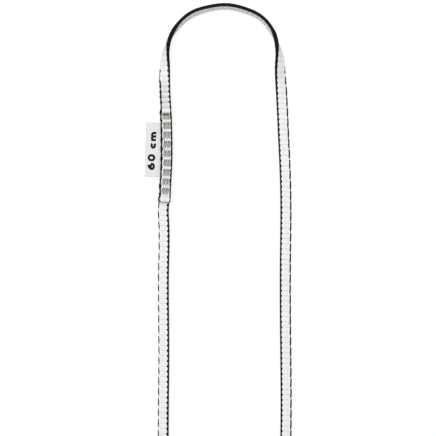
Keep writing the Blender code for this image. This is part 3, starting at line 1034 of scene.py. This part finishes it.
def inner_edge(finish):
    """The black yarn that covers the whole inner edge, in two rows."""
    sizes = {
        "Start": EDGE_INSET,
        "End": route.length - EDGE_INSET,
        "Stations": int(route.length / EDGE_CORD_GRAIN * 5) + 1,
        "Sides": YARN_SIDES,
        "Radius": EDGE_CORD_RADIUS,
        **EDGE_CORD_RELIEF,
        "Lump Pitch": RIB_PITCH,
        "Lump Start": 0.0,
        "Full Lumps From": -1.0,
        "Across": -(WEB_WIDTH / 2 - EDGE_CORD_RADIUS),
        "Row Height": WEB_THICKNESS / 2 - EDGE_CORD_RADIUS - EDGE_CORD_SINK,
    }
    piece = grown("inner_edge_yarn", [[(0, 0, 0)]], grained_cords, sizes, finish)

    def way(flat):
        across, along, up = settled(flat)
        lead, lapped = near_lap(along)
        swell = EDGE_SWELL * np.maximum(edge_swell(along), LEAD_SWELL * (lead - lapped))
        swell += by_leg(along, *EDGE_GROWTHS)
        across = (across + WEB_WIDTH / 2) * (1 + swell) - WEB_WIDTH / 2
        across -= end_draw(along) + LEAD_SHIFT * (lead - lapped)
        across += by_leg(along, *EDGE_SHIFTS)
        upright = route.upright_at(along)
        spread = smooth((upright - 0.45) / 0.3) * smooth((1.0 - upright) / 0.06 + 0.3)
        return route.lay(across, along, up * (1 + TWIST_SPREAD * spread))

    return laid(piece, way)


def inner_nubs(finish):
    """A nub at every rib on both faces, fewer where the web stands on edge and none
    on the lap's front ply. Before the lap the outer edge has them too."""
    ribs = np.arange(RIB_PITCH, route.round - NUBS_END, RIB_PITCH)
    lying = ribs[route.upright_at(ribs) < 0.5]
    leading = ribs[ribs > route.round - LAP_YARN_LEAD + NUBS_LEAD]
    height = WEB_THICKNESS / 2 - NUB_SINK
    shifts = by_leg(ribs, *NUB_SHIFTS) * (1 - near_lap(ribs)[0])
    marks = [(-BODY_INNER + shift, along, height) for along, shift in zip(ribs, shifts)]
    marks += [(-BODY_INNER, along, -height) for along in lying]
    marks += [(BODY_OUTER - LEAD_NUB_INSET, along, height) for along in leading]
    return laid(grown("inner_edge_nubs", [marks], nubs_at, NUB_SIZES, finish), settled_lay)


def outer_dashes(name, finish, reach, size, place):
    """The floats of black yarn along a leg's outer edge, which end where it twists. They
    stand a little out of the body's edge and of its face, and the last ones sink in."""
    places = np.arange(*reach, DASH_PITCH)
    on_near_leg, depth = route.depth_at(places)
    past = depth - np.where(on_near_leg, NEAR_DASH_DEPTH, FAR_DASH_DEPTH)
    sunk = 1 - smooth(past[past > 0] / DASH_EASE)
    across = BODY_OUTER + place[0] - size["Radius"] - DASH_DRAW[0] * sunk
    height = WEB_THICKNESS / 2 - size["Radius"] * DASH_FLATNESS + place[1] - DASH_DRAW[1] * sunk
    marks = np.column_stack((across, places[past > 0], height))
    sizes = {**size, "Flatness": DASH_FLATNESS, "Dive": DASH_DIVE}
    return laid(grown(name, [marks], dashes_at, sizes, finish), settled_lay)


def lap_edge(finish):
    """The outer edge yarn before and along the lap's front ply, where the sewing draws
    it up into lumps between the bartacks. It leaves room for the label to stand up."""
    start, end = route.round - LAP_YARN_LEAD, route.length - LAP_YARN_END
    sizes = {
        "Start": start,
        "End": end,
        "Stations": int((end - start) / EDGE_CORD_GRAIN * 6),
        "Sides": YARN_SIDES,
        "Radius": LAP_YARN_RADIUS,
        **LAP_YARN_RELIEF,
        "Lump Pitch": TACK_PITCH,
        "Lump Start": route.round + TACK_FIRST + TACK_PITCH / 2,
        "Full Lumps From": route.round - LAP_RAMP,
        "Across": LAP_YARN_EDGE - LAP_YARN_RADIUS,
        "Row Height": WEB_THICKNESS / 2 - LAP_YARN_RADIUS + LAP_YARN_RISE,
    }
    piece = grown("lap_edge_yarn", [[(0, 0, 0)]], grained_cords, sizes, finish)

    def way(flat):
        across, along, up = settled(flat)
        lead, lapped = near_lap(along)
        thin, leading, lapping = LAP_YARN_SHARES
        share = thin + leading * lead + lapping * lapped
        across = LAP_YARN_EDGE - (LAP_YARN_EDGE - across) * share - 0.6 * end_draw(along)
        across += LEAD_YARN_SHIFT * lead + (LAP_YARN_SHIFT - LEAD_YARN_SHIFT) * lapped
        across = np.minimum(across, fold.room_beside(along))
        return route.lay(across, along, up * (0.9 + 0.1 * share))

    return laid(piece, way)


# The bartacks


def strokes(count, reach, width, lie, dive):
    """One thread's zigzag on the front face: strokes along the strap that go down
    into the web at both ends."""
    holes = np.linspace(-width / 2, width / 2, count + 1)
    path = []
    for index in range(count):
        way = 1 if index % 2 else -1
        for share in np.linspace(0, 1, 12)[: 12 if index == count - 1 else 11]:
            across = holes[index] + (holes[index + 1] - holes[index]) * smooth(share) + TACK_SHIFT
            sunk = abs(2 * share - 1) ** 10
            path.append((across, way * reach * (1 - 2 * share), lie - dive * sunk))
    return path


def stitched(name, lines, start, finish, count=1, radius=THREAD_RADIUS):
    """Threads on the lap: the same lines, as many times, a bartack's pitch apart."""
    sizes = {"Start": start, "Pitch": TACK_PITCH, "Count": count, "Radius": radius}
    return laid(grown(name, lines, tacked, sizes, finish), route.lay_on_lap)


def bartacks(name, start, finish, count=1, locked=False):
    """The threads of a run of bartacks, on both faces. The first bartack's thread is
    locked with a few short, close strokes."""
    front = [strokes(*UNDER_STROKES), strokes(*OVER_STROKES)]
    if locked:
        front.append([(x + LOCK_PLACE[0], y + LOCK_PLACE[1], z) for x, y, z in strokes(*LOCK_STROKES)])
    back = [[(x, y, STACK_HEIGHT - z) for x, y, z in line] for line in front]
    return stitched(name, front + back, start, finish, count)


def thread_tails(finish):
    """Two short thread ends that stand out just past the third and fourth bartacks."""
    across, lean, step, rise, arch = TAIL_LINE
    line = [
        (across - lean * index, step * index, STACK_HEIGHT + rise + arch * math.sin(math.pi * index / 5))
        for index in range(6)
    ]
    start = TACK_FIRST + TACK_PITCH * 2 + TACK_LENGTH / 2 - TAIL_OVERLAP
    return stitched("thread_tails", [line], start, finish, 2, TAIL_RADIUS)


def end_curl(finish):
    """The cut end of the outer edge yarn, which curls out beside the front ply's end."""
    line = [(WEB_WIDTH / 2 + x, y, STACK_HEIGHT + z) for x, y, z in CURL]
    return stitched("end_curl", [line], route.length, finish, radius=CURL_RADIUS)


# The label


class Fold:
    """Axes on the label's fold: X outwards, Y along the strap, Z up."""

    def __init__(self):
        joint = frame["joints"][0]
        up = Vector((0, 0, 1))
        along = -Vector(joint["axis"]).normalized()
        self.outside = along.cross(up)
        self.place = Vector(joint["pos_m"])
        axes = Matrix((self.outside, along, up)).transposed().to_4x4()
        self.matrix = np.array(Matrix.Translation(self.place) @ axes)

    def room_beside(self, along):
        """How far out from the strap's middle its edge may reach: up to the cloth of
        the label that stands up on its fold, and further away from the label."""
        level = np.array(self.outside)[:2]
        away = (np.array(self.place)[:2] - route.plan_at(along)) @ level
        from_middle = abs(along - route.round - LABEL_MIDDLE)
        past_label = smooth((from_middle - LABEL_LENGTH / 2 - ROOM_START) / ROOM_LENGTH)
        return away / (route.outside_at(along) @ level) - LABEL_THICKNESS + past_label * LABEL_ROOM

    def lay(self, out, along, up):
        """Where points of the flat label come to lie: out along the cloth, along the
        fold, and up from the cloth's middle."""
        steps = np.linspace(-LABEL_DEPTH, LABEL_SPAN, 400)
        droop = math.radians(LABEL_DROOP) * smooth((steps + LABEL_FOLD / 2) / LABEL_FOLD)
        camber = np.cos(np.pi * steps / CAMBER_REACH) * LABEL_CAMBER * math.pi / CAMBER_REACH
        slope = droop - np.where(steps > 0, camber, 0)
        gap = steps[1] - steps[0]
        level, drop = (np.cumsum(way) * gap for way in (np.cos(slope), np.sin(slope)))
        level -= np.interp(0, steps, level)
        drop -= np.interp(0, steps, drop)
        lean = np.interp(out, steps, slope)
        height, waves, phase, start = LABEL_WAVE
        wave = height * np.sin(along * waves + phase) * smooth(out / start)
        x = np.interp(out, steps, level) + up * np.sin(lean)
        z = -np.interp(out, steps, drop) + up * np.cos(lean) + wave
        local = np.column_stack((x, along + LABEL_SHIFT, z, np.ones(len(x))))
        return (local @ self.matrix.T)[:, :3]


fold = Fold()


def label_reach(side):
    return LABEL_REACH + side * math.tan(math.radians(FREE_EDGE_SKEW)) * LABEL_LENGTH / 2


def label_end(out, side):
    """The place along the fold of the label's first (-1) or last (1) end."""
    return side * LABEL_LENGTH / 2 + math.tan(math.radians(LABEL_SKEW)) * (label_reach(side) - out)


def label_cloth(finish):
    """The label's cloth, from between the plies to its free edge, with soft corners.
    Its finish reads the distance to the nearest free edge in place of a height."""
    deep = np.repeat(np.arange(CLOTH_ROWS) / (CLOTH_ROWS - 1), CLOTH_COLUMNS)
    long = np.tile(np.arange(CLOTH_COLUMNS) / (CLOTH_COLUMNS - 1), CLOTH_ROWS)
    out = -LABEL_DEPTH + (label_reach(2 * long - 1) + LABEL_DEPTH) * deep
    first, last = label_end(out, -1), label_end(out, 1)
    along = first + (last - first) * long
    grid = np.arange(CLOTH_ROWS * CLOTH_COLUMNS).reshape(CLOTH_ROWS, CLOTH_COLUMNS)
    around = (grid[:-1, :-1], grid[:-1, 1:], grid[1:, 1:], grid[1:, :-1])
    faces = np.stack(around, axis=2).reshape(-1, 4).tolist()
    mesh = bpy.data.meshes.new("label_cloth")
    mesh.from_pydata([tuple(point) for point in fold.lay(out, along, 0)], [], faces)
    piece = placed("label_cloth", mesh)
    free = np.minimum(1 - deep, np.minimum(long, 1 - long) * LABEL_LENGTH / CLOTH_SPAN)
    keep_place(mesh, "cloth_place", np.column_stack((out, along, free * CLOTH_SPAN)))
    mesh.materials.append(finish)
    solid = piece.modifiers.new("thickness", "SOLIDIFY")
    solid.thickness = LABEL_THICKNESS
    solid.offset = 0
    rounded = piece.modifiers.new("edges", "BEVEL")
    rounded.width = LABEL_THICKNESS * 0.3
    rounded.segments = 2
    rounded.limit_method = "ANGLE"
    final_mesh(piece)
    piece.data.shade_smooth()
    return piece


def arc(middle, radii, first, last, steps=24):
    """Points round an ellipse between two angles in degrees."""
    angles = np.radians(np.linspace(first, last, steps))
    return [(middle[0] + radii[0] * math.cos(a), middle[1] + radii[1] * math.sin(a), 0) for a in angles]


def letter_lines():
    """The middle lines of the letters of "60 cm", in shares of their height, and the
    whole line's width."""
    six = [arc((0.34, 0.33), (0.23, 0.22), 0, 370), arc((0.60, 0.33), (0.49, 0.57), 180, 103, 12)]
    nought = [arc((0.34, 0.50), (0.23, 0.39), 0, 370)]
    open_c = [arc((0.34, 0.34), (0.23, 0.23), 48, 312)]
    first_arch, next_arch = (arc((x, 0.40), (0.16, 0.17), 180, 0, 12) for x in (0.26, 0.58))
    em = [[(0.10, 0, 0), (0.10, 0.67, 0)], first_arch + [(0.42, 0, 0)], next_arch + [(0.74, 0, 0)]]
    lines = []
    pen = 0
    for shapes, width in ((six, 0.80), (nought, 1.16), (open_c, 0.72), (em, 0.84)):
        lines += [[(x + pen, y, 0) for x, y, _ in shape] for shape in shapes]
        pen += width
    return lines, pen


def size_print(finish):
    """A plain length in centimetres, printed along the label."""
    lines, width = letter_lines()
    wide = PRINT_HEIGHT * PRINT_WIDENING
    lines = [
        [((x - width / 2) * wide, (y - 0.5) * PRINT_HEIGHT, index * PRINT_LAYER) for x, y, _ in line]
        for index, line in enumerate(lines)
    ]
    sizes = {"Step": PRINT_STEP, "Stroke": PRINT_STROKE, "Film": 2 * PRINT_LIFT}
    piece = grown("size_print", lines, inked, sizes, finish)
    skew = math.radians(LABEL_SKEW)
    x, y, up = points_of(piece.data).T
    out = PRINT_MIDDLE - x * math.sin(skew) + y * math.cos(skew)
    along = PRINT_SHIFT - x * math.cos(skew) - y * math.sin(skew)
    flat = np.column_stack((out, along, up + LABEL_THICKNESS / 2 + PRINT_LIFT))
    keep_place(piece.data, "cloth_place", flat)
    move_points(piece.data, fold.lay(*flat.T))
    piece.data.shade_flat()
    face_outwards(piece.data)
    return piece


# The stage


def add_camera():
    camera = bpy.data.cameras.new("camera")
    camera.lens = CAMERA_LENS
    camera.sensor_width = CAMERA_SENSOR
    camera.clip_start = 0.01
    camera.clip_end = 20
    eye = placed("camera", camera)
    eye.location = CAMERA_PLACE
    bpy.context.scene.camera = eye


def add_floor():
    mesh = bpy.data.meshes.new("table_top")
    sides = ((-1, -1), (1, -1), (1, 1), (-1, 1))
    corners = [(x * FLOOR_HALF, y * FLOOR_HALF, FLOOR_HEIGHT) for x, y in sides]
    mesh.from_pydata(corners, [], [(0, 1, 2, 3)])
    mesh.materials.append(floor_finish())
    placed("table_top", mesh)


def add_light():
    world = bpy.data.worlds.new("studio")
    world.use_nodes = True
    tree = Tree(world.node_tree)
    background = world.node_tree.nodes["Background"]
    background.inputs["Color"].default_value = (1, 1, 1, 1)
    tree.join(0.52 + seen_ray(tree) * 0.48, background.inputs["Strength"])
    bpy.context.scene.world = world
    lamp = bpy.data.lights.new("overhead_softbox", "AREA")
    lamp.shape = "DISK"
    lamp.size = 1.4
    lamp.energy = 15
    lit = placed("overhead_softbox", lamp)
    lit.location = (-0.25, 0.45, 1.60)
    lit.rotation_euler = (-lit.location).to_track_quat("-Z", "Y").to_euler()


# The whole sling


add_camera()
white = white_weave()
black = black_yarn()
grey = sewing_thread("grey_thread", (0.47, 0.47, 0.44), (0.28, 0.28, 0.258), -0.18)
olive = sewing_thread("olive_thread", (0.53, 0.54, 0.43), (0.36, 0.366, 0.275), -0.04)

body = woven_body(white)
inner = inner_edge(black)
nubs = inner_nubs(black)
near_reach = (DASH_PITCH, route.length / 2)
near_dashes = outer_dashes("near_leg_dashes", black, near_reach, NEAR_DASH, NEAR_DASH_PLACE)
far_reach = (route.length / 2 + FAR_DASH_SHIFT, route.round - LAP_YARN_LEAD)
far_dashes = outer_dashes("far_leg_dashes", black, far_reach, FAR_DASH, FAR_DASH_PLACE)
lap_yarn = lap_edge(black)
first_tack = bartacks("first_bartack", TACK_FIRST, olive, locked=True)
other_tacks = bartacks("other_bartacks", TACK_FIRST + TACK_PITCH, grey, TACK_COUNT - 1)
tails = thread_tails(olive)
curl = end_curl(black)
strap_pieces = [body, inner, nubs, near_dashes, far_dashes, lap_yarn, first_tack, other_tacks, tails, curl]
for piece in strap_pieces:
    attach(piece, "sling")

other_threads = [f"{side}_thread_{index}" for side in ("needle", "bobbin") for index in range(2, 10)]
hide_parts("webbing")
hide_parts("inner_selvedge")
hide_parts("outer_selvedge")
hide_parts("needle_thread_1", "bobbin_thread_1")
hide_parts(*other_threads)

way = np.arange(0, route.length, 0.005)
middle_line = route.lay(0, way, 0)
list(middle_line[0])
strap_pieces[1:]

cloth = label_cloth(label_weave())
fold.place - fold.outside * (LABEL_FOLD / 2)
fold.place + fold.outside * (LABEL_FOLD / 2)
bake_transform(cloth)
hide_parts("label_tail", "label_flap")
lettering = size_print(label_ink())
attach(lettering, "label")

add_floor()
add_light()
bpy.context.scene.view_settings.view_transform = "Standard"
